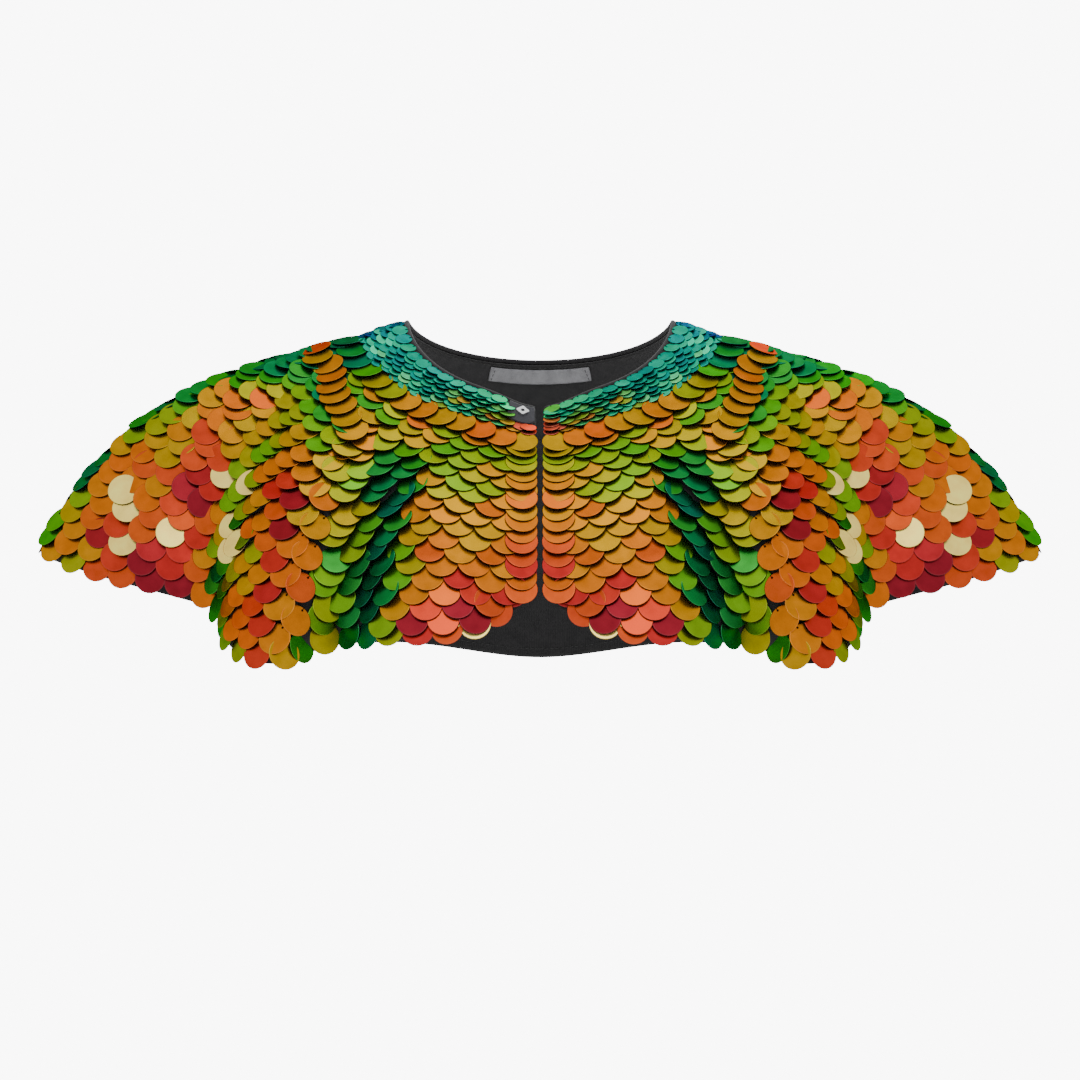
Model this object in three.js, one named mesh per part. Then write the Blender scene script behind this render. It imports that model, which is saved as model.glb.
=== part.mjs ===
// A cropped evening cape with flared shoulder wings, worn form, open at the front.
// Millimetres, +Z up. The wearer faces -Y, and +X is the wearer's left.
// The origin is the middle of the neck opening, level with the neck points on the shoulders.
// The cloth is one smooth surface, cut into panels. A place on it is a turn round the neck,
// in degrees from the front opening, and a distance down from the neck edge.

import * as THREE from "three";

// Cloth and seams
const CLOTH_THICKNESS = 2;
const LINING_THICKNESS = 1;
const LINING_GAP = 0.8;
const TAB_THICKNESS = 1;
const LABEL_THICKNESS = 0.7;
const SEAM_GAP = 0.3;

// Neck opening
const NECK_HALF_WIDTH = 88;
const NECK_FRONT_REACH = 64;
const NECK_BACK_REACH = 74;
const NECK_FRONT_DROP = 50;
const NECK_BACK_DROP = 24;
const NECK_TOP_ROUNDING = 0.15;
const NECK_POINT_DIP = 8;
const NECK_POINT_DIP_WIDTH = 14;
const YOKE_WIDTH = 30;
const BINDING_WIDTH = 2.4;
const BINDING_THICKNESS = 2.6;

// Front opening: half of the gap between the fronts, and the rounded corner at each hem
const OPENING_HALF_GAP = 3;
const CORNER_RADIUS = 38;
const CORNER_TURN = 15;

// Ribs on one side, from the front edge round to the centre back. turn is the angle round the
// neck in degrees. x, y and z are the hem point. reach and drop are the shares of the way out
// and of the way down at the rib's two shaping points, near the shoulder and near the hem.
const RIBS = [
  { name: "front edge", turn: 0, x: 3, y: -150, z: -198, reach1: 0.5, drop1: 0.24, reach2: 0.96, drop2: 0.62 },
  { name: "front lobe", turn: 14, x: 46, y: -158, z: -201, reach1: 0.5, drop1: 0.23, reach2: 0.95, drop2: 0.6 },
  { name: "lobe side", turn: 30, x: 94, y: -150, z: -204, reach1: 0.49, drop1: 0.21, reach2: 0.93, drop2: 0.55 },
  { name: "front valley", turn: 43, x: 128, y: -120, z: -207, reach1: 0.48, drop1: 0.19, reach2: 0.92, drop2: 0.5 },
  { name: "front flute", turn: 54, x: 166, y: -142, z: -219, reach1: 0.47, drop1: 0.18, reach2: 0.9, drop2: 0.42 },
  { name: "flute side", turn: 63, x: 195, y: -110, z: -209, reach1: 0.47, drop1: 0.18, reach2: 0.87, drop2: 0.34 },
  { name: "wing valley", turn: 71, x: 212, y: -60, z: -178, reach1: 0.47, drop1: 0.2, reach2: 0.84, drop2: 0.26 },
  { name: "wing front", turn: 80, x: 268, y: -46, z: -169, reach1: 0.48, drop1: 0.21, reach2: 0.79, drop2: 0.18 },
  { name: "wing tip", turn: 91, x: 326, y: -4, z: -152, reach1: 0.48, drop1: 0.22, reach2: 0.75, drop2: 0.11 },
  { name: "wing back", turn: 103, x: 290, y: 54, z: -167, reach1: 0.48, drop1: 0.21, reach2: 0.79, drop2: 0.18 },
  { name: "back valley", turn: 116, x: 218, y: 84, z: -188, reach1: 0.47, drop1: 0.2, reach2: 0.84, drop2: 0.28 },
  { name: "back flute", turn: 132, x: 162, y: 130, z: -210, reach1: 0.48, drop1: 0.18, reach2: 0.89, drop2: 0.42 },
  { name: "back hollow", turn: 153, x: 88, y: 128, z: -212, reach1: 0.49, drop1: 0.18, reach2: 0.92, drop2: 0.52 },
  { name: "centre back", turn: 180, x: 0, y: 138, z: -222, reach1: 0.5, drop1: 0.18, reach2: 0.94, drop2: 0.55 },
];
// How far round, in degrees, a fold is blurred at each of the two shaping points.
const FOLD_BLUR_SHOULDER = 30;
const FOLD_BLUR_LOW = 12;

// The seams of the wings, from the shoulder point to the hem: down is the share of the rib.
// Up to ARMHOLE_TOP of their points they run over the shoulder, and then down the body.
const FRONT_ARMHOLE = [
  { turn: 90, down: 0.21 },
  { turn: 70, down: 0.255 },
  { turn: 53, down: 0.33 },
  { turn: 51, down: 0.55 },
  { turn: 51, down: 0.78 },
  { turn: 51, down: 1 },
];
const BACK_ARMHOLE = [
  { turn: 90, down: 0.21 },
  { turn: 110, down: 0.25 },
  { turn: 127, down: 0.33 },
  { turn: 129, down: 0.55 },
  { turn: 130, down: 0.78 },
  { turn: 130, down: 1 },
];
const ARMHOLE_TOP = 0.4;
const SHOULDER_TURN = 90;
const CENTRE_BACK_TURN = 180;

// Label on the inside of the back neck
const LABEL_WIDTH = 64;
const LABEL_HEIGHT = 11.5;
const LABEL_FROM_EDGE = 3;

// Fastening at the neck: a tab on the corner of the wearer's right front holds a square socket,
// and a round stud is behind the left front. Across is measured from the centre front.
const TAB_ACROSS = [0.6, 16.5];
const TAB_DOWN = [1.5, 19];
const SOCKET_ACROSS = 8.2;
const SOCKET_DOWN = 8.5;
const SOCKET_SIDE = 6.4;
const SOCKET_CORNER_RADIUS = 1;
const SOCKET_BORE = 2.8;
const SOCKET_THICKNESS = 1.3;
const STUD_ACROSS = 9;
const STUD_DIAMETER = 7.5;
const STUD_BASE = 0.7;
const STUD_BALL = 2.6;
const STUD_HEIGHT = 2.2;

// Fineness of the meshes
const YOKE_STEP = 5;
const YOKE_ROWS = 3;
const SHOULDER_SEAM_ROWS = 3;
const ARMHOLE_TOP_ROWS = 7;
const ARMHOLE_LOW_ROWS = 11;
const LINING_ROWS = 11;
const FRONT_COLUMNS = 18;
const WING_COLUMNS = 4 * ARMHOLE_TOP_ROWS;
const BACK_COLUMNS = 32;
const LENGTH_SAMPLES = 40;
const TURN_STEP = 0.2;
const DISTANCE_STEP = 0.5;

const { degToRad, radToDeg, lerp } = THREE.MathUtils;
const FULL_TURN = 2 * CENTRE_BACK_TURN;
const RIB_KEYS = ["x", "y", "z", "reach1", "drop1", "reach2", "drop2"];

// The row that mirrors a rib at the centre front or the centre back.
function mirrored(rib, turn) {
  return { ...rib, turn, x: -rib.x };
}

const last = RIBS.length - 1;
const RIBS_AND_ENDS = [
  mirrored(RIBS[1], -RIBS[1].turn),
  ...RIBS,
  mirrored(RIBS[last - 1], FULL_TURN - RIBS[last - 1].turn),
];

// A smooth curve through one column of the ribs, at any turn on one side.
function ribColumn(turn, key) {
  let i = 1;
  while (i < RIBS_AND_ENDS.length - 3 && RIBS_AND_ENDS[i + 1].turn < turn) i++;
  const [before, a, b, after] = RIBS_AND_ENDS.slice(i - 1, i + 3);
  const span = b.turn - a.turn;
  const s = (turn - a.turn) / span;
  const slopeA = ((b[key] - before[key]) / (b.turn - before.turn)) * span;
  const slopeB = ((after[key] - a[key]) / (after.turn - a.turn)) * span;
  const s2 = s * s;
  const s3 = s2 * s;
  return (
    (2 * s3 - 3 * s2 + 1) * a[key] + (s3 - 2 * s2 + s) * slopeA +
    (3 * s2 - 2 * s3) * b[key] + (s3 - s2) * slopeB
  );
}

function ribAt(turn) {
  return Object.fromEntries(RIB_KEYS.map((key) => [key, ribColumn(turn, key)]));
}

// The hem point at any turn. Past the centre front or back it is the other side's.
function hemPoint(turn) {
  let inside = Math.abs(turn);
  let side = Math.sign(turn) || 1;
  if (inside > CENTRE_BACK_TURN) {
    inside = FULL_TURN - inside;
    side = -side;
  }
  const rib = ribAt(inside);
  return new THREE.Vector3(side * rib.x, rib.y, rib.z);
}

// The hem with its folds blurred, as the cloth above it has them.
function blurredHem(turn, blur) {
  const point = new THREE.Vector3();
  [1, 4, 6, 4, 1].forEach((weight, i) => {
    point.addScaledVector(hemPoint(turn + ((i - 2) * blur) / 2), weight / 16);
  });
  return point;
}

function neckPoint(turn) {
  const across = Math.sin(degToRad(turn));
  const forward = Math.cos(degToRad(turn));
  const reach = forward > 0 ? NECK_FRONT_REACH : NECK_BACK_REACH;
  const fullDrop = forward > 0 ? NECK_FRONT_DROP : NECK_BACK_DROP;
  const rounded = (share) => Math.hypot(share, NECK_TOP_ROUNDING) - NECK_TOP_ROUNDING;
  const drop = (fullDrop * rounded(forward)) / rounded(1);
  const opening = OPENING_HALF_GAP * Math.max(0, forward);
  const dip = NECK_POINT_DIP * Math.exp(-((turn / NECK_POINT_DIP_WIDTH) ** 2));
  return new THREE.Vector3(
    NECK_HALF_WIDTH * across + opening,
    -reach * forward,
    -drop - dip,
  );
}

function between(from, to, reach, drop) {
  return new THREE.Vector3(
    lerp(from.x, to.x, reach),
    lerp(from.y, to.y, reach),
    lerp(from.z, to.z, drop),
  );
}

// The curve of one rib, neck to hem, with its length.
const ribCurves = new Map();
function ribCurve(turn) {
  const key = turn.toFixed(5);
  if (!ribCurves.has(key)) {
    const rib = ribAt(turn);
    const neck = neckPoint(turn);
    const shoulder = between(neck, blurredHem(turn, FOLD_BLUR_SHOULDER), rib.reach1, rib.drop1);
    const low = between(neck, blurredHem(turn, FOLD_BLUR_LOW), rib.reach2, rib.drop2);
    const curve = new THREE.CubicBezierCurve3(neck, shoulder, low, hemPoint(turn));
    curve.arcLengthDivisions = LENGTH_SAMPLES;
    ribCurves.set(key, { curve, length: curve.getLength() });
  }
  return ribCurves.get(key);
}

// Turns up to the centre back are the wearer's left, and the rest is its mirror image.
function leftTurn(turn) {
  return turn <= CENTRE_BACK_TURN ? turn : FULL_TURN - turn;
}

function ribLength(turn) {
  return ribCurve(leftTurn(turn)).length;
}

// The middle of the cloth. Above the neck edge it goes straight on along the rib.
function clothPoint(turn, distance) {
  const { curve, length } = ribCurve(leftTurn(turn));
  const point =
    distance < 0
      ? curve.getPointAt(0).addScaledVector(curve.getTangentAt(0), distance)
      : curve.getPointAt(Math.min(1, distance / length));
  if (turn > CENTRE_BACK_TURN) point.x = -point.x;
  return point;
}

// The way the cloth runs round the body at a place, for each degree of turn.
function wayRound(turn, distance) {
  const beside = Math.max(TURN_STEP, Math.min(FULL_TURN - TURN_STEP, turn));
  const ahead = clothPoint(beside + TURN_STEP, distance);
  return ahead.sub(clothPoint(beside - TURN_STEP, distance)).divideScalar(2 * TURN_STEP);
}

// The outward normal of the cloth.
function clothNormal(turn, distance) {
  const at = Math.max(DISTANCE_STEP, Math.min(ribLength(turn) - DISTANCE_STEP, distance));
  const down = clothPoint(turn, at + DISTANCE_STEP).sub(clothPoint(turn, at - DISTANCE_STEP));
  return down.cross(wayRound(turn, distance)).normalize();
}

// A point of the cloth moved out along its normal, or in where the offset is negative.
function offsetPoint(turn, distance, offset) {
  return clothPoint(turn, distance).addScaledVector(clothNormal(turn, distance), offset);
}

// The hem's distance from the neck edge, shortened to round the corner at the front opening.
function hemDistance(turn) {
  const into = Math.max(0, 1 - leftTurn(turn) / CORNER_TURN);
  return ribLength(turn) - CORNER_RADIUS * (1 - Math.sqrt(1 - into * into));
}

// Which way the turn grows from an armhole towards its front or back: 1 or -1.
function bodySide(armhole) {
  return Math.sign(armhole[armhole.length - 1].turn - SHOULDER_TURN);
}

// A curve of places down an armhole, moved off its middle by half of the seam's gap, to the
// body's side or to the wing's.
function armholeEdge(armhole, onBody) {
  const curve = new THREE.SplineCurve(armhole.map((row) => new THREE.Vector2(row.turn, row.down)));
  const aside = ((onBody ? SEAM_GAP : -SEAM_GAP) / 2) * bodySide(armhole);
  return (share) => {
    const { x: turn, y: down } = curve.getPoint(share);
    const perDegree = wayRound(turn, down * ribLength(turn)).length();
    const ahead = curve.getTangent(share);
    const along = new THREE.Vector2(ahead.x * perDegree, ahead.y * ribLength(turn)).normalize();
    return {
      turn: turn + (aside * along.y) / perDegree,
      distance: down * ribLength(turn) - aside * along.x,
    };
  };
}

// Places inside four edges. Each edge is a function of a share of the way across or down.
function patch({ top, bottom, start, end }) {
  const corner = (across, down, key) =>
    lerp(
      lerp(top(0)[key], top(1)[key], across),
      lerp(bottom(0)[key], bottom(1)[key], across),
      down,
    );
  const inside = (across, down, key) =>
    lerp(top(across)[key], bottom(across)[key], down) +
    lerp(start(down)[key], end(down)[key], across) -
    corner(across, down, key);
  return (across, down) => ({
    turn: inside(across, down, "turn"),
    distance: inside(across, down, "distance"),
  });
}

function hemFrom(from, to) {
  return (across) => {
    const turn = lerp(from, to, across);
    return { turn, distance: hemDistance(turn) };
  };
}

// The wearer's right is the wearer's left seen in a mirror.
function rightPlace(place) {
  return (across, down) => {
    const { turn, distance } = place(1 - across, down);
    return { turn: FULL_TURN - turn, distance };
  };
}

// A closed wall: a grid of places on the cloth, from an inner to an outer offset.
function wall(columns, rows, inner, outer, place) {
  const points = [];
  for (const offset of [outer, inner]) {
    for (let j = 0; j <= rows; j++) {
      for (let i = 0; i <= columns; i++) {
        const { turn, distance } = place(i / columns, j / rows);
        points.push(...offsetPoint(turn, distance, offset).toArray());
      }
    }
  }
  const layer = (columns + 1) * (rows + 1);
  const at = (i, j, k) => k * layer + j * (columns + 1) + i;
  const index = [];
  const quad = (a, b, c, d) => index.push(a, b, c, a, c, d);
  for (let j = 0; j < rows; j++) {
    for (let i = 0; i < columns; i++) {
      quad(at(i, j, 0), at(i, j + 1, 0), at(i + 1, j + 1, 0), at(i + 1, j, 0));
      quad(at(i, j, 1), at(i + 1, j, 1), at(i + 1, j + 1, 1), at(i, j + 1, 1));
    }
    quad(at(0, j, 0), at(0, j, 1), at(0, j + 1, 1), at(0, j + 1, 0));
    quad(at(columns, j, 0), at(columns, j + 1, 0), at(columns, j + 1, 1), at(columns, j, 1));
  }
  for (let i = 0; i < columns; i++) {
    quad(at(i, 0, 0), at(i + 1, 0, 0), at(i + 1, 0, 1), at(i, 0, 1));
    quad(at(i, rows, 0), at(i, rows, 1), at(i + 1, rows, 1), at(i + 1, rows, 0));
  }
  const geometry = new THREE.BufferGeometry();
  geometry.setAttribute("position", new THREE.Float32BufferAttribute(points, 3));
  geometry.setIndex(index);
  geometry.computeVertexNormals();
  return geometry;
}

function clothWall(columns, rows, place) {
  return wall(columns, rows, -CLOTH_THICKNESS / 2, CLOTH_THICKNESS / 2, place);
}

const black = new THREE.MeshStandardMaterial({ color: 0x1c1a1b, roughness: 0.8, metalness: 0 });
const sequinned = new THREE.MeshStandardMaterial({ color: 0xa8701c, roughness: 0.35, metalness: 0.6 });
const neckSequins = new THREE.MeshStandardMaterial({ color: 0x1f9a78, roughness: 0.35, metalness: 0.6 });
const greySatin = new THREE.MeshStandardMaterial({ color: 0x97979c, roughness: 0.5, metalness: 0 });
const nickel = new THREE.MeshStandardMaterial({ color: 0xd4d6d8, roughness: 0.25, metalness: 1 });

const cape = new THREE.Group();

function add(name, geometry, material) {
  const mesh = new THREE.Mesh(geometry, material);
  mesh.name = name;
  cape.add(mesh);
  return mesh;
}

// Half of the shoulder seam's gap as degrees of turn.
function shoulderGap(distance) {
  return SEAM_GAP / 2 / wayRound(SHOULDER_TURN, distance).length();
}

// Yoke: the band round the neck that carries the small sequins, seamed at the shoulders.
function yokePlace(from, to) {
  return (across, down) => ({ turn: lerp(from, to, across), distance: YOKE_WIDTH * down });
}

function addYoke() {
  const gap = shoulderGap(YOKE_WIDTH / 2);
  const front = yokePlace(0, SHOULDER_TURN - gap);
  const back = yokePlace(SHOULDER_TURN + gap, FULL_TURN - SHOULDER_TURN - gap);
  const frontColumns = SHOULDER_TURN / YOKE_STEP;
  const backColumns = (FULL_TURN - 2 * SHOULDER_TURN) / YOKE_STEP;
  add("yoke_front_left", clothWall(frontColumns, YOKE_ROWS, front), neckSequins);
  add("yoke_front_right", clothWall(frontColumns, YOKE_ROWS, rightPlace(front)), neckSequins);
  add("yoke_back", clothWall(backColumns, YOKE_ROWS, back), neckSequins);
}

const PANEL_TOP = YOKE_WIDTH + SEAM_GAP;
const PANEL_ROWS = SHOULDER_SEAM_ROWS + ARMHOLE_TOP_ROWS + ARMHOLE_LOW_ROWS;

// The side edge of a front or the back: the shoulder seam, then the armhole down to the hem.
function bodyEdge(armhole) {
  const edge = armholeEdge(armhole, true);
  const shoulderPoint = armhole[0].down * ribLength(SHOULDER_TURN) - SEAM_GAP / 2;
  return (down) => {
    const row = down * PANEL_ROWS - SHOULDER_SEAM_ROWS;
    if (row <= 0) {
      const distance = lerp(shoulderPoint, PANEL_TOP, -row / SHOULDER_SEAM_ROWS);
      return { turn: SHOULDER_TURN + bodySide(armhole) * shoulderGap(distance), distance };
    }
    const overShoulder = ARMHOLE_TOP * Math.min(1, row / ARMHOLE_TOP_ROWS);
    const belowIt = Math.max(0, row - ARMHOLE_TOP_ROWS) / ARMHOLE_LOW_ROWS;
    return edge(lerp(overShoulder, 1, belowIt));
  };
}

// Fronts: from the opening to the shoulder seam and the armhole.
function frontPlace() {
  const end = bodyEdge(FRONT_ARMHOLE);
  return patch({
    top: (across) => ({ turn: lerp(0, end(0).turn, across), distance: PANEL_TOP }),
    bottom: hemFrom(0, end(1).turn),
    start: (down) => ({ turn: 0, distance: lerp(PANEL_TOP, hemDistance(0), down) }),
    end,
  });
}

// Back: from one shoulder seam and armhole to the other.
function backPlace() {
  const start = bodyEdge(BACK_ARMHOLE);
  const end = (down) => ({ turn: FULL_TURN - start(down).turn, distance: start(down).distance });
  return patch({
    top: (across) => ({ turn: lerp(start(0).turn, end(0).turn, across), distance: PANEL_TOP }),
    bottom: hemFrom(start(1).turn, end(1).turn),
    start,
    end,
  });
}

// Wings: the flared panels, set into the armholes from hem to hem over the shoulder.
function wingPlace() {
  const front = armholeEdge(FRONT_ARMHOLE, false);
  const back = armholeEdge(BACK_ARMHOLE, false);
  // Over the shoulder the wing goes straight between the body's rows, so that the gap is even.
  const top = (across) => {
    const edge = across < 0.5 ? front : back;
    const row = Math.abs(1 - 2 * across) * ARMHOLE_TOP_ROWS;
    const from = edge((ARMHOLE_TOP * Math.floor(row)) / ARMHOLE_TOP_ROWS);
    const to = edge((ARMHOLE_TOP * Math.ceil(row)) / ARMHOLE_TOP_ROWS);
    const share = row - Math.floor(row);
    return { turn: lerp(from.turn, to.turn, share), distance: lerp(from.distance, to.distance, share) };
  };
  return patch({
    top,
    bottom: hemFrom(front(1).turn, back(1).turn),
    start: (down) => front(lerp(ARMHOLE_TOP, 1, down)),
    end: (down) => back(lerp(ARMHOLE_TOP, 1, down)),
  });
}

function addPanels() {
  const front = frontPlace();
  const wing = wingPlace();
  add("front_left", clothWall(FRONT_COLUMNS, PANEL_ROWS, front), sequinned);
  add("front_right", clothWall(FRONT_COLUMNS, PANEL_ROWS, rightPlace(front)), sequinned);
  add("wing_left", clothWall(WING_COLUMNS, ARMHOLE_LOW_ROWS, wing), sequinned);
  add("wing_right", clothWall(WING_COLUMNS, ARMHOLE_LOW_ROWS, rightPlace(wing)), sequinned);
  add("back", clothWall(BACK_COLUMNS, PANEL_ROWS, backPlace()), sequinned);
}

// Binding: the narrow rolled edge along the whole neckline.
function addBinding() {
  const place = (across, down) => ({
    turn: lerp(0, FULL_TURN, across),
    distance: -SEAM_GAP - BINDING_WIDTH * (1 - down),
  });
  const half = BINDING_THICKNESS / 2;
  add("neck_binding", wall(FULL_TURN / YOKE_STEP, 1, -half, half, place), black);
}

// Lining of the back, which shows inside the neck and below the fronts.
const LINING_OUTER = -CLOTH_THICKNESS / 2 - LINING_GAP;
const LINING_INNER = LINING_OUTER - LINING_THICKNESS;

function addLining() {
  const back = backPlace();
  const rows = YOKE_ROWS + LINING_ROWS;
  const place = (across, down) => {
    const row = down * rows;
    if (row > YOKE_ROWS) return back(across, (row - YOKE_ROWS) / LINING_ROWS);
    return { turn: back(across, 0).turn, distance: (YOKE_WIDTH * row) / YOKE_ROWS };
  };
  add("back_lining", wall(BACK_COLUMNS, rows, LINING_INNER, LINING_OUTER, place), black);
}

function turnAcross(across) {
  return radToDeg(Math.asin(across / NECK_HALF_WIDTH));
}

// A small flat piece on the neck's cloth, from its sizes across the centre and down.
function neckPatch(columns, [from, to], [top, low], inner, outer, centreTurn) {
  const place = (across, down) => ({
    turn: centreTurn + lerp(turnAcross(from), turnAcross(to), across),
    distance: lerp(top, low, down),
  });
  return wall(columns, 2, inner, outer, place);
}

// Label: a plain woven strip on the lining, just below the neck edge.
function addLabel() {
  const across = [-LABEL_WIDTH / 2, LABEL_WIDTH / 2];
  const down = [LABEL_FROM_EDGE, LABEL_FROM_EDGE + LABEL_HEIGHT];
  const outer = LINING_INNER - SEAM_GAP;
  const geometry = neckPatch(10, across, down, outer - LABEL_THICKNESS, outer, CENTRE_BACK_TURN);
  add("blank_label", geometry, greySatin);
}

// Tab: a bare piece of the ground cloth, under the socket.
const TAB_INNER = CLOTH_THICKNESS / 2 + SEAM_GAP;
const TAB_OUTER = TAB_INNER + TAB_THICKNESS;

function addTab() {
  const across = [-TAB_ACROSS[1], -TAB_ACROSS[0]];
  add("closure_tab", neckPatch(4, across, TAB_DOWN, TAB_INNER, TAB_OUTER, FULL_TURN), black);
}

// Stands a piece made along +Z on the cloth, or on its underside where the side is -1.
function standOnCloth(mesh, turn, distance, offset, side) {
  const axis = clothNormal(turn, distance).multiplyScalar(side);
  mesh.quaternion.setFromUnitVectors(new THREE.Vector3(0, 0, 1), axis);
  mesh.position.copy(offsetPoint(turn, distance, side * offset));
}

// Socket: a square plate stood on its corner, with a bore for the stud.
function addSocket() {
  const inner = SOCKET_SIDE / 2 - SOCKET_CORNER_RADIUS;
  const quarterTurn = Math.PI / 2;
  const outline = new THREE.Shape();
  for (let quarter = 0; quarter < 4; quarter++) {
    const start = quarter * quarterTurn;
    const centre = new THREE.Vector2(inner, inner).rotateAround(new THREE.Vector2(), start);
    outline.absarc(centre.x, centre.y, SOCKET_CORNER_RADIUS, start, start + quarterTurn, false);
  }
  outline.holes.push(new THREE.Path().absarc(0, 0, SOCKET_BORE / 2, 0, 4 * quarterTurn, true));
  const geometry = new THREE.ExtrudeGeometry(outline, {
    depth: SOCKET_THICKNESS,
    bevelEnabled: false,
    curveSegments: 4,
  });
  geometry.rotateZ(quarterTurn / 2);
  const turn = FULL_TURN - turnAcross(SOCKET_ACROSS);
  const socket = add("snap_socket", geometry, nickel);
  standOnCloth(socket, turn, SOCKET_DOWN, TAB_OUTER + SEAM_GAP, 1);
}

// Stud: a round base with a ball, on the inside of the left front.
function addStud() {
  const rim = STUD_DIAMETER / 2;
  const ball = STUD_BALL / 2;
  const profile = [
    [0, 0], [rim, 0], [rim, STUD_BASE / 2], [rim - STUD_BASE, STUD_BASE], [ball, STUD_BASE],
    [ball, (STUD_BASE + STUD_HEIGHT) / 2], [ball / 2, STUD_HEIGHT], [0, STUD_HEIGHT],
  ].map(([x, y]) => new THREE.Vector2(x, y));
  const geometry = new THREE.LatheGeometry(profile, 20).rotateX(Math.PI / 2);
  const stud = add("snap_stud", geometry, nickel);
  standOnCloth(stud, turnAcross(STUD_ACROSS), SOCKET_DOWN, CLOTH_THICKNESS / 2 + SEAM_GAP, -1);
}

addYoke();
addPanels();
addBinding();
addLining();
addLabel();
addTab();
addSocket();
addStud();

export default cape;
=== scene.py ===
import math

import bpy
import numpy as np
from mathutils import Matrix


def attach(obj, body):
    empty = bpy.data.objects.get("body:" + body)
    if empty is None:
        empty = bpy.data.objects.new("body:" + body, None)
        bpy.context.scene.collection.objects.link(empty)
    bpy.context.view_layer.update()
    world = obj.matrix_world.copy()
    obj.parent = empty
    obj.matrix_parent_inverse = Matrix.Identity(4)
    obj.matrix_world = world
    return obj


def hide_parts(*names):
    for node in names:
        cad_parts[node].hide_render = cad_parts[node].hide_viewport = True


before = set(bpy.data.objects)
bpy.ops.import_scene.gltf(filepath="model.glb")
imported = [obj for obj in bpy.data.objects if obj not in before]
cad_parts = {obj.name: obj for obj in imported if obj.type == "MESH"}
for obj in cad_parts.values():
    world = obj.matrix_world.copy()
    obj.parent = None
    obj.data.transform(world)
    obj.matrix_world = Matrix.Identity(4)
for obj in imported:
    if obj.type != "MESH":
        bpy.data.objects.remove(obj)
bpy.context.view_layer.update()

# View: a level camera 3 m in front of the cape, at the height of its middle. Its long lens keeps
# the wings from looking larger than they are, as in the photo.
camera = bpy.data.objects.new("camera", bpy.data.cameras.new("camera"))
camera.location = (0, -3.0, -0.142)
camera.rotation_euler = (math.pi / 2, 0, 0)
camera.data.lens = 153
camera.data.sensor_width = 36
camera.data.clip_end = 60
bpy.context.scene.collection.objects.link(camera)
bpy.context.scene.camera = camera


# Ground cloth: eight panels of fine black cloth that carry the sequins, sewn together at the
# shoulders, round the yoke and along the armholes of the wings. The cloth is one smooth
# surface: a place on it is a turn round the neck in degrees and a distance from the neck edge.
CLOTH_OUTER, CLOTH_INNER = 0.0001, -0.0009
WEAVE_PER_DEGREE = 0.0022
YOKE_WIDTH = 0.030
NECK_HALF_WIDTH = 0.088
NECK_REACH = (0.064, 0.074)
NECK_DROP = (0.050, 0.024)
NECK_TOP_ROUNDING = 0.15
OPENING_HALF_GAP = 0.003
CORNER_RADIUS = 0.038
CORNER_TURN = 15
FOLD_BLURS = (30, 12)
# turn, hem point x y z, then the shares out and down of the two shaping points of each rib
RIBS = np.array([
    (0, 0.003, -0.150, -0.198, 0.50, 0.24, 0.96, 0.62),
    (14, 0.046, -0.158, -0.201, 0.50, 0.23, 0.95, 0.60),
    (30, 0.094, -0.150, -0.204, 0.49, 0.21, 0.93, 0.55),
    (43, 0.128, -0.120, -0.207, 0.48, 0.19, 0.92, 0.50),
    (54, 0.166, -0.142, -0.219, 0.47, 0.18, 0.90, 0.42),
    (63, 0.195, -0.110, -0.209, 0.47, 0.18, 0.87, 0.34),
    (71, 0.212, -0.060, -0.178, 0.47, 0.20, 0.84, 0.26),
    (80, 0.268, -0.046, -0.169, 0.48, 0.21, 0.79, 0.18),
    (91, 0.326, -0.004, -0.152, 0.48, 0.22, 0.75, 0.11),
    (103, 0.290, 0.054, -0.167, 0.48, 0.21, 0.79, 0.18),
    (116, 0.218, 0.084, -0.188, 0.47, 0.20, 0.84, 0.28),
    (132, 0.162, 0.130, -0.210, 0.48, 0.18, 0.89, 0.42),
    (153, 0.088, 0.128, -0.212, 0.49, 0.18, 0.92, 0.52),
    (180, 0.000, 0.138, -0.222, 0.50, 0.18, 0.94, 0.55),
])
# turn and share of the rib, from the shoulder point over the shoulder and down to the hem
FRONT_ARMHOLE = [(90, 0.21), (70, 0.255), (53, 0.33), (51, 0.55), (51, 0.78), (51, 1)]
BACK_ARMHOLE = [(90, 0.21), (110, 0.25), (127, 0.33), (129, 0.55), (130, 0.78), (130, 1)]
FRONT_SEAM, BACK_SEAM = FRONT_ARMHOLE[-1][0], BACK_ARMHOLE[-1][0]
# The share of an armhole that is above the wing's sides, and of a body panel's side likewise
ARMHOLE_TOP, SIDE_TOP = 0.4, 0.39


def mirrored_rib(row, turn):
    return np.concatenate([[turn, -row[1]], row[2:]])


RIBS_AND_ENDS = np.vstack([
    mirrored_rib(RIBS[1], -RIBS[1, 0]), RIBS, mirrored_rib(RIBS[-2], 360 - RIBS[-2, 0])
])


def ribs_at(turn):
    """The rib's seven numbers at each turn from 0 to 180, on smooth curves through the table."""
    table = RIBS_AND_ENDS
    i = np.clip(np.searchsorted(table[:, 0], turn, side="right") - 1, 1, len(table) - 3)
    before, a, b, after = (table[i + k] for k in (-1, 0, 1, 2))
    span = (b - a)[..., :1]
    s = (turn[..., None] - a[..., :1]) / span
    slope_a = (b - before) / (b - before)[..., :1] * span
    slope_b = (after - a) / (after - a)[..., :1] * span
    start = (2 * s**3 - 3 * s**2 + 1) * a + (s**3 - 2 * s**2 + s) * slope_a
    return (start + (3 * s**2 - 2 * s**3) * b + (s**3 - s**2) * slope_b)[..., 1:]


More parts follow.
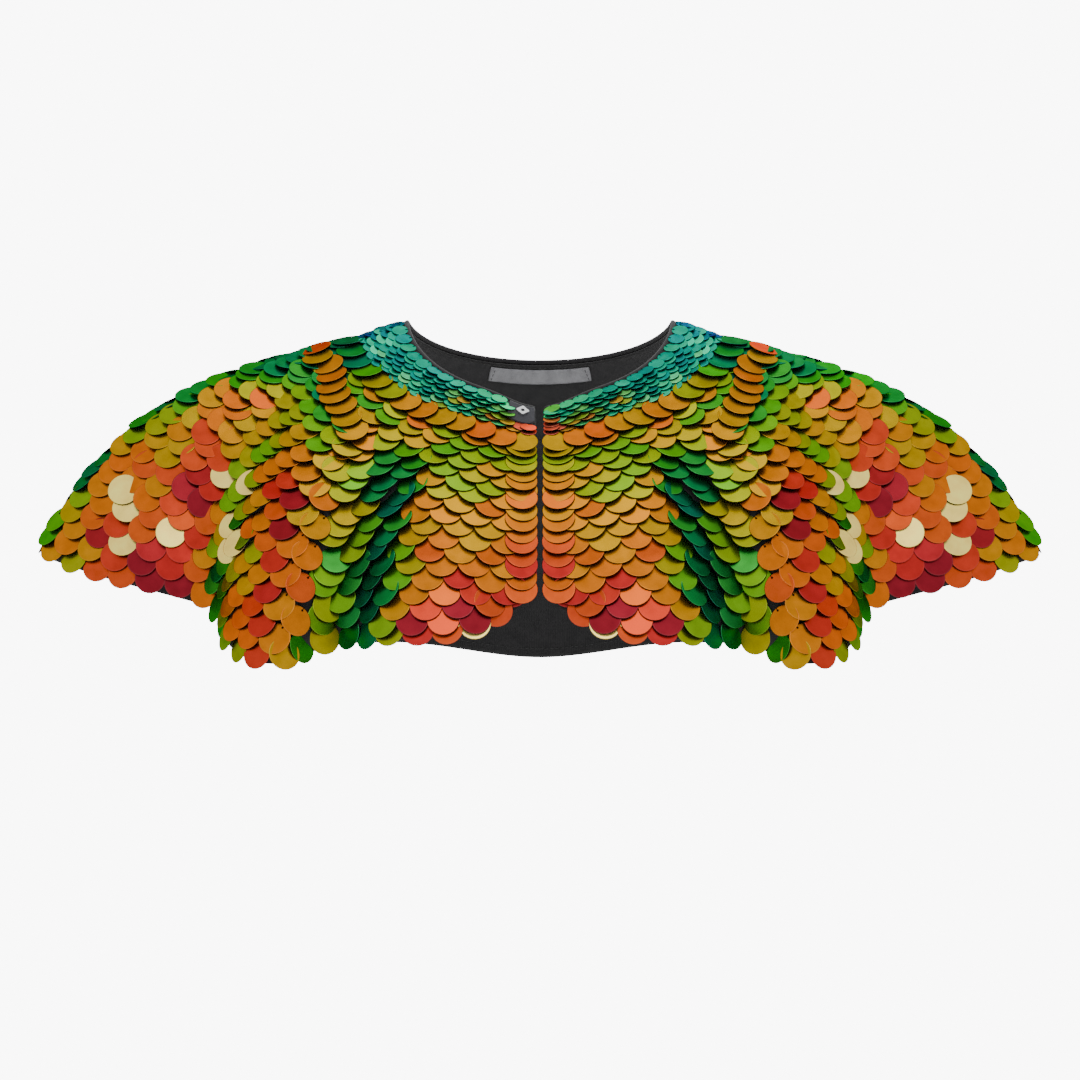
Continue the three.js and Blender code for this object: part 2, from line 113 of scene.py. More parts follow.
def hem_point(turn):
    inside = np.abs(turn)
    past = inside > 180
    side = np.where(turn < 0, -1, 1) * np.where(past, -1, 1)
    point = ribs_at(np.where(past, 360 - inside, inside))[..., :3].copy()
    point[..., 0] *= side
    return point


def blurred_hem(turn, blur):
    weights = (1, 4, 6, 4, 1)
    return sum(w / 16 * hem_point(turn + (i - 2) * blur / 2) for i, w in enumerate(weights))


def neck_point(turn):
    across, forward = np.sin(np.radians(turn)), np.cos(np.radians(turn))
    rounded = lambda share: np.hypot(share, NECK_TOP_ROUNDING) - NECK_TOP_ROUNDING
    drop = np.where(forward > 0, *NECK_DROP) * rounded(forward) / rounded(1)
    dip = 0.008 * np.exp(-((turn / 14) ** 2))
    x = NECK_HALF_WIDTH * across + OPENING_HALF_GAP * np.maximum(0, forward)
    return np.stack([x, -np.where(forward > 0, *NECK_REACH) * forward, -drop - dip], -1)


def rib_table(turns, steps):
    """Points at even distances along each rib, and the ribs' lengths."""
    rib = ribs_at(turns)
    neck, hem = neck_point(turns), hem_point(turns)
    shaping = []
    for blur, reach, drop in zip(FOLD_BLURS, (3, 5), (4, 6)):
        share = np.stack([rib[:, reach], rib[:, reach], rib[:, drop]], -1)
        shaping.append(neck + (blurred_hem(turns, blur) - neck) * share)
    u = np.linspace(0, 1, 401)[None, :, None]
    a, b, c, d = (p[:, None] for p in (neck, *shaping, hem))
    curve = (1 - u) ** 3 * a + 3 * u * (1 - u) ** 2 * b + 3 * u**2 * (1 - u) * c + u**3 * d
    gone = np.cumsum(np.linalg.norm(np.diff(curve, axis=1), axis=2), 1)
    gone = np.concatenate([np.zeros((len(turns), 1)), gone], 1)
    even = np.linspace(0, 1, steps + 1)
    points = np.array([
        [np.interp(even * way[-1], way, line[:, k]) for k in range(3)]
        for way, line in zip(gone, curve)
    ])
    return points.transpose(0, 2, 1), gone[:, -1]


RIB_STEPS = 160
RIB_POINTS, RIB_LENGTHS = rib_table(np.linspace(0, 180, 361), RIB_STEPS)


def left_turn(turn):
    return np.clip(np.where(turn > 180, 360 - turn, turn), 0, 180)


def rib_length(turn):
    return np.interp(left_turn(turn) * 2, np.arange(361), RIB_LENGTHS)


def cloth(turn, distance):
    """Points in the middle of the cloth. Past an edge it goes straight on along the rib."""
    turn, distance = np.broadcast_arrays(np.asarray(turn, float), distance)
    column = left_turn(turn) * 2
    i = np.minimum(column.astype(int), 359)
    f = (column - i)[..., None]
    row = distance / rib_length(turn) * RIB_STEPS
    j = np.clip(np.floor(row).astype(int), 0, RIB_STEPS - 1)
    g = (row - j)[..., None]
    near = RIB_POINTS[i, j] * (1 - g) + RIB_POINTS[i, j + 1] * g
    far = RIB_POINTS[i + 1, j] * (1 - g) + RIB_POINTS[i + 1, j + 1] * g
    point = near * (1 - f) + far * f
    point[..., 0] *= np.where(turn > 180, -1, 1)
    return point


def unit(vectors):
    return vectors / np.linalg.norm(vectors, axis=-1, keepdims=True)


def cloth_frame(turn, distance):
    """The directions round the body and outward at each place on the cloth."""
    beside = np.clip(turn, 0.5, 359.5)
    around = cloth(beside + 0.5, distance) - cloth(beside - 0.5, distance)
    at = np.clip(distance, 0.001, rib_length(turn) - 0.001)
    down = cloth(turn, at + 0.001) - cloth(turn, at - 0.001)
    return unit(around), unit(np.cross(down, around))


def metres_per_degree(turn, distance):
    return np.linalg.norm(cloth(turn + 0.5, distance) - cloth(turn - 0.5, distance), axis=-1)


def resting_frame(turn, distance, reach):
    """The directions round and outward under a stiff disc, and how far a hollow lifts the disc."""
    aside = np.minimum(reach / metres_per_degree(turn, distance), 12)
    ways = [np.clip(turn + k * aside, 0.2, 359.8) for k in (1, -1)]
    ahead, behind = (cloth(way, distance) for way in ways)
    at = np.clip(distance, reach, rib_length(turn) - reach)
    low, high = cloth(turn, at + reach), cloth(turn, at - reach)
    around = unit(ahead - behind)
    outward = unit(np.cross(low - high, around))
    hollow = ((ahead + behind) / 2 - cloth(turn, distance)) * outward
    return around, outward, np.clip(hollow.sum(-1), 0, 0.004)


def hem_distance(turn):
    into = np.maximum(0, 1 - left_turn(turn) / CORNER_TURN)
    return rib_length(turn) - CORNER_RADIUS * (1 - np.sqrt(1 - into * into))


def armhole_edge(rows):
    """Turn and distance at each share of the way along an armhole, on a smooth curve."""
    rows = np.array(rows, float)
    padded = np.vstack([rows[:1], rows, rows[-1:], rows[-1:]])

    def edge(share):
        at = np.asarray(share, float) * (len(rows) - 1)
        i = np.minimum(at.astype(int), len(rows) - 2)
        w = (at - i)[..., None]
        a, b, c, d = (padded[i + k] for k in range(4))
        e, f = (c - a) / 2, (d - b) / 2
        point = (2 * b - 2 * c + e + f) * w**3 + (3 * c - 3 * b - 2 * e - f) * w**2 + e * w + b
        return point[..., 0], point[..., 1] * rib_length(point[..., 0])

    return edge


front_armhole, back_armhole = armhole_edge(FRONT_ARMHOLE), armhole_edge(BACK_ARMHOLE)


def body_edge(armhole):
    """The side of a front or back: the shoulder seam for a seventh of its rows, then the armhole."""

    def edge(down):
        seam = 1 / 7
        lower = np.clip((down - seam) / (1 - seam), 0, 1)
        turn, distance = armhole(np.interp(lower, (0, SIDE_TOP, 1), (0, ARMHOLE_TOP, 1)))
        on_seam = YOKE_WIDTH + (armhole(0)[1] - YOKE_WIDTH) * np.minimum(1, down / seam)
        return np.where(down < seam, 90, turn), np.where(down < seam, on_seam, distance)

    return edge


def patch(top, bottom, start, end):
    """Places inside four edges, from the shares of the way across and down."""

    def place(across, down):
        found = []
        for k in (0, 1):
            corner = (top(0)[k] * (1 - across) + top(1)[k] * across) * (1 - down)
            corner = corner + (bottom(0)[k] * (1 - across) + bottom(1)[k] * across) * down
            ways = top(across)[k] * (1 - down) + bottom(across)[k] * down
            sides = start(down)[k] * (1 - across) + end(down)[k] * across
            found.append(ways + sides - corner)
        return found

    return place


def straight(start, end, distance):
    return lambda share: (start + (end - start) * share, distance + 0 * share)


def hem_from(start, end):
    return lambda share: (start + (end - start) * share, hem_distance(start + (end - start) * share))


def mirrored(place):
    """The same edge or panel on the wearer's right."""

    def mirror(*shares):
        turn, distance = place(*(1 - share for share in shares[:-1]), shares[-1])
        return 360 - turn, distance

    return mirror


front_edge, back_edge = body_edge(front_armhole), body_edge(back_armhole)
opening = lambda down: (0 * down, YOKE_WIDTH + (hem_distance(0.0) - YOKE_WIDTH) * down)
front_place = patch(straight(0, 90, YOKE_WIDTH), hem_from(0, FRONT_SEAM), opening, front_edge)
back_hem = hem_from(BACK_SEAM, 360 - BACK_SEAM)
back_place = patch(straight(90, 270, YOKE_WIDTH), back_hem, back_edge, mirrored(back_edge))


def wing_top(share):
    share = np.asarray(share, float)
    front = front_armhole(ARMHOLE_TOP * np.clip(1 - 2 * share, 0, 1))
    back = back_armhole(ARMHOLE_TOP * np.clip(2 * share - 1, 0, 1))
    return [np.where(share < 0.5, f, b) for f, b in zip(front, back)]


wing_place = patch(
    wing_top,
    hem_from(FRONT_SEAM, BACK_SEAM),
    lambda down: front_armhole(ARMHOLE_TOP + (1 - ARMHOLE_TOP) * down),
    lambda down: back_armhole(ARMHOLE_TOP + (1 - ARMHOLE_TOP) * down),
)


def band_place(start, end, top, low):
    return lambda across, down: (start + (end - start) * across, top + (low - top) * down)


def mesh_object(name, points, faces, material):
    mesh = bpy.data.meshes.new(name)
    mesh.from_pydata([tuple(p) for p in points], [], faces)
    mesh.materials.append(material)
    mesh.polygons.foreach_set("use_smooth", [True] * len(mesh.polygons))
    mesh.update()
    obj = bpy.data.objects.new(name, mesh)
    bpy.context.scene.collection.objects.link(obj)
    return obj


def lay_flat(obj, flat):
    """Gives each point its own flat coordinates."""
    corners = np.zeros(len(obj.data.loops), int)
    obj.data.loops.foreach_get("vertex_index", corners)
    obj.data.uv_layers.new(name="UVMap").data.foreach_set("uv", np.asarray(flat)[corners].ravel())


def shell(name, place, columns, rows, inner, outer, material, ripple=None):
    """A thin closed shell of cloth on the surface, with its own flat coordinates for the weave."""
    across, down = np.meshgrid(np.linspace(0, 1, columns + 1), np.linspace(0, 1, rows + 1))
    turn, distance = place(across, down)
    middle, (_, outward) = cloth(turn, distance), cloth_frame(turn, distance)
    if ripple is not None:
        middle = middle + outward * ripple(turn, distance)[..., None]
    points = np.concatenate([(middle + outward * k).reshape(-1, 3) for k in (outer, inner)])
    layer = (columns + 1) * (rows + 1)
    at = lambda i, j, k: k * layer + j * (columns + 1) + i
    faces = []
    for j in range(rows):
        for i in range(columns):
            faces.append((at(i, j, 0), at(i, j + 1, 0), at(i + 1, j + 1, 0), at(i + 1, j, 0)))
            faces.append((at(i, j, 1), at(i + 1, j, 1), at(i + 1, j + 1, 1), at(i, j + 1, 1)))
    rim = [(0, j) for j in range(rows)] + [(i, rows) for i in range(columns)]
    rim += [(columns - i, rows - j) for i, j in rim]
    for here, ahead in zip(rim, rim[1:] + rim[:1]):
        faces.append((at(*here, 0), at(*here, 1), at(*ahead, 1), at(*ahead, 0)))
    obj = mesh_object(name, points, faces, material)
    flat = np.stack([turn * WEAVE_PER_DEGREE, distance], -1).reshape(-1, 2)
    lay_flat(obj, np.concatenate([flat, flat]))
    return obj


def new_material(name):
    material = bpy.data.materials.new(name)
    material.use_nodes = True
    return material, material.node_tree, material.node_tree.nodes["Principled BSDF"]


def feed(tree, node, inputs):
    """Gives each of a node's inputs a value, or a link from another node's output."""
    for name, source in inputs.items():
        if isinstance(source, bpy.types.NodeSocket):
            tree.links.new(source, node.inputs[name])
        else:
            node.inputs[name].default_value = source


def add_node(tree, kind, inputs={}, **settings):
    node = tree.nodes.new(kind)
    for name, value in settings.items():
        setattr(node, name, value)
    feed(tree, node, inputs)
    return node


def ramp(tree, value, low, high):
    """A band of colour over a value, between two stops of position and colour."""
    node = add_node(tree, "ShaderNodeValToRGB", {"Fac": value})
    for element, stop in zip(node.color_ramp.elements, (low, high)):
        element.position, element.color = stop
    return node.outputs["Color"]


def grey(value):
    return (value, value, value, 1)


def woven(name, dark, light, threads, roughness, bump):
    """Cloth: two crossed sets of threads in the piece's own flat coordinates, with faint slubs."""
    material, tree, shader = new_material(name)
    where = add_node(tree, "ShaderNodeUVMap", uv_map="UVMap").outputs["UV"]
    wave = {"Vector": where, "Scale": threads, "Distortion": 0.6, "Detail": 1}
    sets = [add_node(tree, "ShaderNodeTexWave", wave, bands_direction=way).outputs["Fac"] for way in "XY"]
    weave = add_node(tree, "ShaderNodeMath", dict(enumerate(sets)), operation="MULTIPLY").outputs[0]
    slub = {"Vector": where, "Scale": 120, "Detail": 4, "Roughness": 0.6}
    slubs = add_node(tree, "ShaderNodeTexNoise", slub).outputs["Fac"]
    height = add_node(tree, "ShaderNodeMath", {0: weave, 1: slubs}, operation="ADD").outputs[0]
    lift = add_node(tree, "ShaderNodeBump", {"Height": height, "Strength": bump, "Distance": 0.0003})
    feed(tree, shader, {
        "Base Color": ramp(tree, height, (0.35, (*dark, 1)), (1.2 / 1.3, (*light, 1))),
        "Roughness": roughness,
        "Specular IOR Level": 0.3,
        "Sheen Weight": 0.25,
        "Normal": lift.outputs["Normal"],
    })
    return material


ground_black = woven("ground_black", (0.004, 0.004, 0.005), (0.017, 0.016, 0.017), 450, 0.8, 0.35)
GROUND = {
    "yoke_front_left": (band_place(0, 90, 0, YOKE_WIDTH), 60, 10),
    "yoke_front_right": (band_place(270, 360, 0, YOKE_WIDTH), 60, 10),
    "yoke_back": (band_place(90, 270, 0, YOKE_WIDTH), 110, 10),
    "front_left": (front_place, 64, 70),
    "front_right": (mirrored(front_place), 64, 70),
    "wing_left": (wing_place, 110, 60),
    "wing_right": (mirrored(wing_place), 110, 60),
    "back": (back_place, 120, 70),
}
ground = {}
for node, (place, columns, rows) in GROUND.items():
    ground[node] = shell(node + "_cloth", place, columns, rows, CLOTH_INNER, CLOTH_OUTER, ground_black)
    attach(ground[node], "root")
    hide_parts(node)


# Large sequins: round paillettes of colour-shifting film on the fronts, wings and back, each
# sewn by one thread near its top edge. They hang in overlapping rows like roof tiles, and a
# chain of them follows each armhole over the shoulder.
# Metres and degrees: a step is from row to row, a pitch along a row, a lift up from the cloth
LARGE_RADIUS = 0.0104
FOIL_THICKNESS = 0.00018
THREAD_THICKNESS = 0.00025
LARGE_PITCH = 0.0192
FIRST_ROW = 0.0385
BODY_ROW_STEP, BODY_TILT, BODY_LIFT = 0.0086, 11.5, 0.0027
TOP_ROW_PITCH, TOP_ROW_TILT, TOP_ROW_LIFT = 0.0135, 8, 0.0012
WING_ROW_STEP, WING_TILT, WING_LIFT = 0.0104, 15, 0.0031
CHAIN_STEP, CHAIN_TILT, CHAIN_LIFT = 0.0118, 7, 0.0052
CHAIN_START, CHAIN_END = 0.07, 0.42
HEM_TILT, HEM_OVERHANG = 7, 0.0055
FRONT_HEM_LIFT, WING_HEM_LIFT, BACK_HEM_LIFT = 0.0012, 0.0022, 0.0016
ROW_END_LIFT, WING_END_LIFT = 0.0008, 0.0008
SEAM_SINK = 0.0012
UNDER_WING = 0.007
SHORT_OF_FOLD = 0.013
SIZE_SPREAD = 0.02
GLINT_REACH = 0.011
# How squarely a sequin faces the front or the back, and the film's colour there
FILM = [
    (0.00, (18, 66, 104)), (0.20, (26, 116, 130)), (0.36, (22, 138, 96)),
    (0.48, (50, 152, 56)), (0.58, (96, 166, 26)), (0.67, (152, 156, 10)),
    (0.75, (192, 138, 10)), (0.83, (206, 110, 20)), (0.90, (202, 76, 34)),
    (0.95, (184, 44, 40)), (1.00, (130, 30, 42)),
]
# Painted highlight: the cream of the sequins that catch the key light.
PAINTED_GLINT_CREAM = (255, 226, 122)
FILM_PURITY = 1.02
# Where the sewing hole sits in a disc's flat coordinates. Each disc's edge, back and stitch take its
# near-black, which on the back, and partly on the edge, is painted shade.
SEWING_HOLE_AND_BACK_SHADE = (0.5, 0.9)
# Sequins that catch the light in the photo: x, z and how far each stands out, in metres
GLINTS = [
    (0.267, -0.109, 0.0020), (0.267, -0.125, 0.0008), (0.269, -0.139, 0.0008), (0.241, -0.142, 0.0012),
    (0.200, -0.099, 0.0004), (0.182, -0.108, 0.0004), (0.196, -0.128, 0.0008), (0.192, -0.142, 0.0014),
    (0.200, -0.150, 0.0010), (0.040, -0.200, 0.0),
]


def linear(colour):
    """The colour in linear light, a little purer than it reads, as the view softens it."""
    c = np.asarray(colour, float) / 255
    c = np.where(c <= 0.04045, c / 12.92, ((c + 0.055) / 1.055) ** 2.4)
    most = c.max(-1, keepdims=True)
    return most * (c / most) ** FILM_PURITY


def film_colour(film, facing):
    at, colours = zip(*film)
    return np.stack([np.interp(facing, at, channel) for channel in zip(*colours)], -1)


def disc_mesh(name, radius, sides, rim, material):
    """A round foil: a flat face and a narrow bevelled rim, then its dark edge, back and stitch. The
    near-black of the back is painted shade for the gaps under each row, and that of the edge is partly so.
    """
    angle = np.linspace(0, 2 * np.pi, sides, endpoint=False)
    ring = np.stack([np.sin(angle), np.cos(angle)], -1)
    half = FOIL_THICKNESS / 2
    rings = [(radius - rim, half), (radius, half * 0.4), (radius, -half)]
    points = np.concatenate([np.column_stack([ring * r, np.full(sides, z)]) for r, z in rings])
    faces = [tuple(range(sides - 1, -1, -1))]
    for k in range(2):
        for i in range(sides):
            j = (i + 1) % sides
            faces.append((k * sides + i, k * sides + j, (k + 1) * sides + j, (k + 1) * sides + i))
    faces.append(tuple(range(2 * sides, 3 * sides)))
    thread = THREAD_THICKNESS
    arch = [(radius - 0.0019, half), (radius - 0.0009, half + thread), (radius + 0.0004, -half)]
    stitch = [(x, y, z + up) for y, z in arch for x, up in ((-thread, 0), (0, thread), (thread, 0))]
    for a in (3 * sides + k for k in (0, 1, 3, 4)):
        faces.append((a, a + 1, a + 4, a + 3))
    points = np.concatenate([points, stitch])
    disc = mesh_object(name, points, faces, material)
    lay_flat(disc, 0.5 + points[:, :2] / radius / 2)
    # The edge, back and stitch take the sewing hole's near-black: painted shade on the back, and partly on
    # the edge.
    for face in disc.data.polygons[1 + sides:]:
        for corner in face.loop_indices:
            disc.data.uv_layers["UVMap"].data[corner].uv = SEWING_HOLE_AND_BACK_SHADE
    disc.data.polygons[0].use_smooth = False
    bpy.context.scene.collection.objects.unlink(disc)
    return disc


def foil(name, roughness):
    """Colour-shifting foil: each sequin's own tint, a painted highlight on its rim, a dark sewing hole
    whose near-black also paints shade on the disc's edge and back, and faint haze.
    """
    material, tree, shader = new_material(name)
    tint = add_node(tree, "ShaderNodeAttribute", attribute_name="tint").outputs["Color"]
    lot = add_node(tree, "ShaderNodeAttribute", attribute_name="lot").outputs["Fac"]
    where = add_node(tree, "ShaderNodeUVMap", uv_map="UVMap").outputs["UV"]
    cloud = {"Vector": where, "W": lot, "Scale": 2.2, "Detail": 3}
    haze = add_node(tree, "ShaderNodeTexNoise", cloud, noise_dimensions="4D").outputs["Fac"]
    shade = {"Value": haze, "From Min": 0.3, "From Max": 0.7, "To Min": 0.86, "To Max": 1.14}
    brightness = add_node(tree, "ShaderNodeMapRange", shade).outputs["Result"]
    shaded = add_node(tree, "ShaderNodeVectorMath", {0: tint, "Scale": brightness}, operation="SCALE")

    def away_from(x, y):
        spot = {0: where, 1: (x, y, 0)}
        return add_node(tree, "ShaderNodeVectorMath", spot, operation="DISTANCE").outputs["Value"]

    edge = ramp(tree, away_from(0.5, 0.5), (0.455, grey(0)), (0.49, grey(1)))
    hole_and_back_shade = ramp(tree, away_from(*SEWING_HOLE_AND_BACK_SHADE), (0.03, grey(1)), (0.045, grey(0)))
    # A colour mix takes its share in socket 0 and its two colours in sockets 6 and 7
    # Painted highlight: the bevelled rim is made paler.
    rim = {0: edge, 6: shaded.outputs["Vector"], 7: grey(0.02)}
    rim_highlighted = add_node(tree, "ShaderNodeMix", rim, data_type="RGBA", blend_type="ADD").outputs[2]
    # Painted shade: near-black at the sewing hole, and on the disc's edge and back.
    dark = {0: hole_and_back_shade, 6: rim_highlighted, 7: grey(0.004)}
    holed_and_back_shaded = add_node(tree, "ShaderNodeMix", dark, data_type="RGBA").outputs[2]
    wear = {"Value": haze, "To Min": roughness - 0.06, "To Max": roughness + 0.08}
    lift = add_node(tree, "ShaderNodeBump", {"Height": haze, "Strength": 0.12, "Distance": 0.0002})
    feed(tree, shader, {
        "Base Color": holed_and_back_shaded,
        "Specular Tint": holed_and_back_shaded,
        "Metallic": 0.97,
        "Roughness": add_node(tree, "ShaderNodeMapRange", wear).outputs["Result"],
        "Normal": lift.outputs["Normal"],
    })
    return material


def sewing_tree():
    """Geometry nodes: one disc on each point, turned by the point's own angles."""
    tree = bpy.data.node_groups.new("sewn_discs", "GeometryNodeTree")
    for name, kind in (
        ("Geometry", "Geometry"), ("Shape", "Object"), ("Material", "Material"),
        ("Smallest", "Float"), ("Largest", "Float"), ("Seed", "Int"),
    ):
        tree.interface.new_socket(name, in_out="INPUT", socket_type="NodeSocket" + kind)
    tree.interface.new_socket("Geometry", in_out="OUTPUT", socket_type="NodeSocketGeometry")
    given = add_node(tree, "NodeGroupInput").outputs
    shape = add_node(tree, "GeometryNodeObjectInfo", {"Object": given["Shape"]})
    turned = add_node(tree, "GeometryNodeInputNamedAttribute", {"Name": "turned"}, data_type="FLOAT_VECTOR")
    angles = add_node(tree, "FunctionNodeEulerToRotation", {"Euler": turned.outputs["Attribute"]})
    # A random number takes its least and most in sockets 2 and 3
    sizes = {2: given["Smallest"], 3: given["Largest"], "Seed": given["Seed"]}
    placed = add_node(tree, "GeometryNodeInstanceOnPoints", {
        "Points": given["Geometry"],
        "Instance": shape.outputs["Geometry"],
        "Rotation": angles.outputs["Rotation"],
        "Scale": add_node(tree, "FunctionNodeRandomValue", sizes).outputs[1],
    })
    real = add_node(tree, "GeometryNodeRealizeInstances", {"Geometry": placed.outputs["Instances"]})
    paint = {"Geometry": real.outputs["Geometry"], "Material": given["Material"]}
    painted = add_node(tree, "GeometryNodeSetMaterial", paint)
    add_node(tree, "NodeGroupOutput", {"Geometry": painted.outputs["Geometry"]})
    return tree


SEWING = sewing_tree()


def turned_axes(axes, tilt, yaw, lean):
    """Turns each frame in its own plane, then sideways, then its lower edge outward. Degrees."""
    axes = list(axes)
    for angle, (a, b) in ((lean, (0, 1)), (yaw, (2, 0)), (-tilt, (1, 2))):
        c, s = (f(np.radians(angle))[:, None] for f in (np.cos, np.sin))
        axes[a], axes[b] = axes[a] * c + axes[b] * s, axes[b] * c - axes[a] * s
    return axes


def euler_angles(x, y, z):
    turn_y = np.arcsin(np.clip(-x[:, 2], -1, 1))
    return np.stack([np.arctan2(y[:, 2], z[:, 2]), turn_y, np.arctan2(x[:, 1], x[:, 0])], -1)


def scatter(name, points, axes, shape, material, spread, **values):
    """Copies of one shape, one on each point along its own axes, as one plain mesh."""
    mesh = bpy.data.meshes.new(name)
    mesh.from_pydata([tuple(p) for p in points], [], [])
    turned = mesh.attributes.new("turned", "FLOAT_VECTOR", "POINT")
    turned.data.foreach_set("vector", euler_angles(*axes).ravel())
    for key, numbers in values.items():
        kind, field = ("FLOAT", "value") if numbers.ndim == 1 else ("FLOAT_COLOR", "color")
        mesh.attributes.new(key, kind, "POINT").data.foreach_set(field, numbers.ravel())
    obj = bpy.data.objects.new(name, mesh)
    bpy.context.scene.collection.objects.link(obj)
    sewing = obj.modifiers.new("sewing", "NODES")
    sewing.node_group = SEWING
    given = {"Shape": shape, "Material": material, "Smallest": 1 - spread, "Largest": 1 + spread, "Seed": 7}
    for item in SEWING.interface.items_tree:
        if item.in_out == "INPUT" and item.name in given:
            sewing[item.identifier] = given[item.name]
    bpy.context.view_layer.update()
    shown = obj.evaluated_get(bpy.context.evaluated_depsgraph_get())
    sewn = bpy.data.meshes.new_from_object(shown)
    obj.modifiers.remove(sewing)
    obj.data = sewn
    sewn.name = name
    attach(obj, "root")
    return obj


def sew_discs(name, layout, side, disc, reach, material, colour_of, glints=()):
    """Sews the discs of one panel. The layout is for the wearer's left, and side -1 mirrors it."""
    turn, distance = layout["turn"], layout["distance"]
    aim = layout.get("aim", turn)
    if side < 0:
        turn, aim = 360 - turn, 360 - aim
    around, outward, hollow = resting_frame(aim, distance, 0.8 * reach)
    if "up" in layout:
        upward = layout["up"] * (side, 1, 1)
        upward = unit(upward - outward * (upward * outward).sum(-1, keepdims=True))
        around = np.cross(upward, outward)
    upward = np.cross(outward, around)
    # On a ridge that faces neither front nor back a disc lies flatter and lower
    flat_on_ridge = np.where(np.abs(outward[:, 1]) < 0.35, 0.45, 1.0)
    tilt = layout["tilt"] * flat_on_ridge
    axes = turned_axes((around, upward, outward), tilt, side * layout["yaw"], side * layout["lean"])
    height = layout["lift"] - 0.2 * reach * (1 - flat_on_ridge) + hollow
    points = cloth(turn, distance) + outward * height[:, None]
    if "shift" in layout:
        points = points + layout["shift"] * (side, 1, 1)
    tint = colour_of(points, axes[2], layout)
    if glints:
        turn_and_paint_glints(glints, points, axes[2], tint)
        axes[0] = unit(np.cross(axes[1], axes[2]))
        axes[1] = np.cross(axes[2], axes[0])
    colours = np.column_stack([linear(tint), np.ones(len(points))])
    return scatter(name, points, axes, disc, material, SIZE_SPREAD, tint=colours, lot=layout["lot"])


def way_along(line):
    """How far each point of a line is from its start."""
    return np.concatenate([[0], np.cumsum(np.linalg.norm(np.diff(line, axis=0), axis=1))])


def row_places(turns, distances, radius, pitch, offset_row, more_at_ends=True):
    """Turn, distance and extra height at even steps along one row. Every other row is shifted,
    and where more_at_ends is set it has one more disc at each end, raised over its neighbour."""
    gone = way_along(cloth(turns, distances))
    room = gone[-1] - 2 * radius
    if room < pitch / 2:
        return np.empty((3, 0))
    at = np.linspace(0, 1, max(1, round(room / pitch)) + 1)
    if offset_row:
        at = (at[:-1] + at[1:]) / 2
    height = 0 * at
    if offset_row and more_at_ends:
        at = np.concatenate([[0], at, [1]])
        height = np.pad(height, 1, constant_values=ROW_END_LIFT)
    way = radius + room * at
    return np.stack([np.interp(way, gone, turns), np.interp(way, gone, distances), height])


def smooth_step(values, start, end):
    s = np.clip((values - start) / (end - start), 0, 1)
    return s * s * (3 - 2 * s)


def edge_turn(armhole, distance):
    """The armhole's turn at a distance from the neck, and the shoulder seam's above it."""
    turn, way = armhole(np.linspace(0, 1, 200))
    return np.interp(distance, way, turn)


def finish_layout(rows, rng, tilt, tilt_spread, yaw_spread, lift):
    """One layout from rows of places, with each disc's own small disorder."""
    turn, distance, height = np.concatenate(rows, axis=1)
    count = len(turn)
    return {
        "turn": turn,
        "distance": distance + rng.normal(0, 0.0005, count),
        "tilt": tilt + rng.normal(0, tilt_spread, count),
        "yaw": rng.normal(0, yaw_spread, count),
        "lean": rng.normal(0, 4, count),
        "lift": lift + height,
        "lot": rng.uniform(0, 50, count),
    }


def body_rows(first, last, armhole, rng, steps):
    """Rows of a front or the back, from the yoke to just above the row round the hem. They run
    a little way under a wing, but stop short of the fold where its first discs bridge the seam."""
    turns = np.linspace(first, last, 500)
    low = np.abs(left_turn(turns) - 90) > 39
    reach = np.where(low, rib_length(turns), FIRST_ROW + (steps - 1) * BODY_ROW_STEP)
    reach = np.convolve(np.pad(reach, 40, mode="edge"), np.ones(81) / 81, "valid")
    rows = []
    for k in range(steps):
        distance = FIRST_ROW + (reach - LARGE_RADIUS - FIRST_ROW) * (k / (steps - 1)) ** 1.12
        pitch = LARGE_PITCH if k else TOP_ROW_PITCH
        rows.append(row_places(turns, distance, LARGE_RADIUS * 0.95, pitch, k % 2 == 1))
    layout = finish_layout(rows, rng, BODY_TILT, 1.5, 2.0, BODY_LIFT)
    on_front = first < 90
    top = np.arange(len(layout["turn"])) < rows[0].shape[1]
    layout["yaw"] = np.where(top, 7 if on_front else 0, layout["yaw"])
    turn, distance = layout["turn"], layout["distance"]
    edge = edge_turn(armhole, distance)
    past = (turn - edge if on_front else edge - left_turn(turn)) * metres_per_degree(turn, distance)
    on_fold = smooth_step(distance / rib_length(turn), 0.42, 0.55) * on_front
    inside = past <= UNDER_WING - SHORT_OF_FOLD * on_fold
    near_seam = smooth_step(past, -0.010, 0.0)
    layout["lift"] = layout["lift"] + TOP_ROW_LIFT * top - SEAM_SINK * near_seam
    layout["tilt"] = np.where(top, TOP_ROW_TILT, layout["tilt"]) * (1 - 0.55 * near_seam)
    clear = distance < hem_distance(turn) - LARGE_RADIUS + HEM_OVERHANG - 0.004 + 0.007 * near_seam
    return {name: values[inside & clear] for name, values in layout.items()}


def hem_row(first, last, rng, overhang, lift):
    """Discs along the hem itself, each square to it, hanging past it by the overhang."""
    turns = np.linspace(first, last, 3000)
    row = row_places(turns, hem_distance(turns), 0.004, LARGE_PITCH, False)
    layout = finish_layout([row], rng, HEM_TILT, 2.0, 3.5, lift)
    turn = layout["turn"]
    ahead, behind = (np.clip(turn + k * 0.25, 0, 360) for k in (1, -1))
    along = cloth(ahead, hem_distance(ahead)) - cloth(behind, hem_distance(behind))
    _, outward = cloth_frame(turn, layout["distance"])
    layout["up"] = unit(np.cross(outward, along))
    layout["shift"] = layout["up"] * (LARGE_RADIUS - overhang(turn))[..., None]
    return layout


